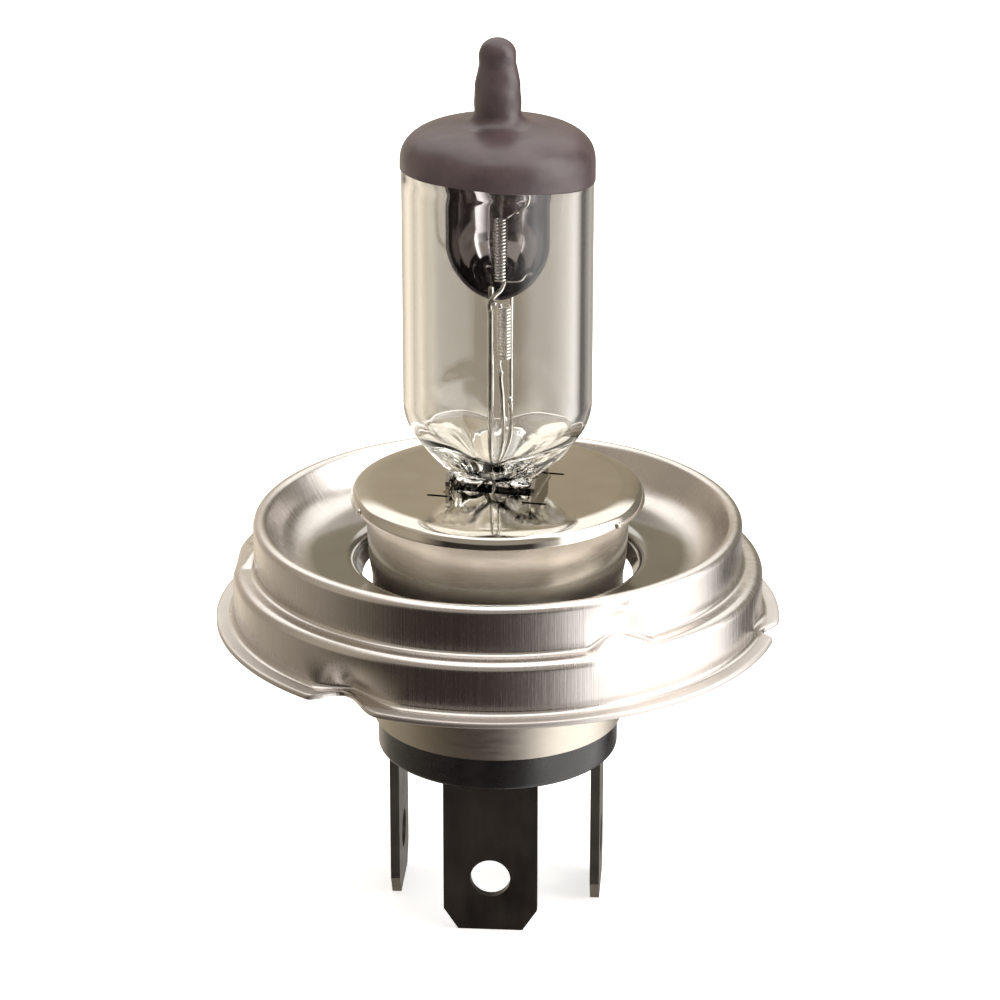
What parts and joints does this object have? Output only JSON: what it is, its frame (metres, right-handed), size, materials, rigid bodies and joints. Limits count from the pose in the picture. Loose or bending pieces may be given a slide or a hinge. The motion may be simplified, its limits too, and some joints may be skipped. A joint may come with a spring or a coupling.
{
  "type": "headlight bulb",
  "caption": "Twin-filament halogen headlight lamp: clear glass tube with dark-coated dome, round metal base with stepped prefocus ring, and contact blades.",
  "frame": {"origin": "centre of the prefocus ring's seating flange, on the flange's upper face, where the round spigot wall rises from it", "axes": "+Z along the lamp axis towards the glass tip; -Y towards the crosswise contact blade; the two side blades lie at -X and +X"},
  "size_m": [0.048, 0.048, 0.0757],
  "materials": {
    "glass": "clear hard glass",
    "coating": "matt dark brown-grey dip coating",
    "shield": "polished dark molybdenum sheet",
    "tungsten": "drawn tungsten wire",
    "molybdenum": "bright drawn wire and foil",
    "lead_wire": "nickel-plated wire",
    "bright_plate": "mirror-bright nickel plating",
    "shell": "satin drawn sheet",
    "ring": "satin deep-drawn steel with fine draw lines",
    "insulator": "black moulded phenolic, satin",
    "side_blade": "dull plated sheet",
    "front_blade": "dark tarnished plated sheet"
  },
  "bodies": {
    "root": {"glass_envelope": "glass", "antiglare_coating": "coating", "dipping_shield": "shield", "low_beam_filament": "tungsten", "high_beam_filament": "tungsten", "common_support_post": "molybdenum", "low_beam_support_wire": "molybdenum", "high_beam_support_wire": "molybdenum", "filament_welds": "molybdenum", "common_foil": "molybdenum", "low_beam_foil": "molybdenum", "high_beam_foil": "molybdenum", "earth_lead": "lead_wire", "low_beam_lead": "lead_wire", "high_beam_lead": "lead_wire", "bulb_plate": "bright_plate", "plate_welds": "bright_plate", "base_shell": "shell", "prefocus_ring": "ring", "ring_welds": "ring", "base_insulator": "insulator", "earth_terminal": "side_blade", "low_beam_terminal": "front_blade", "high_beam_terminal": "side_blade", "terminal_welds": "lead_wire"}
  },
  "joints": []
}
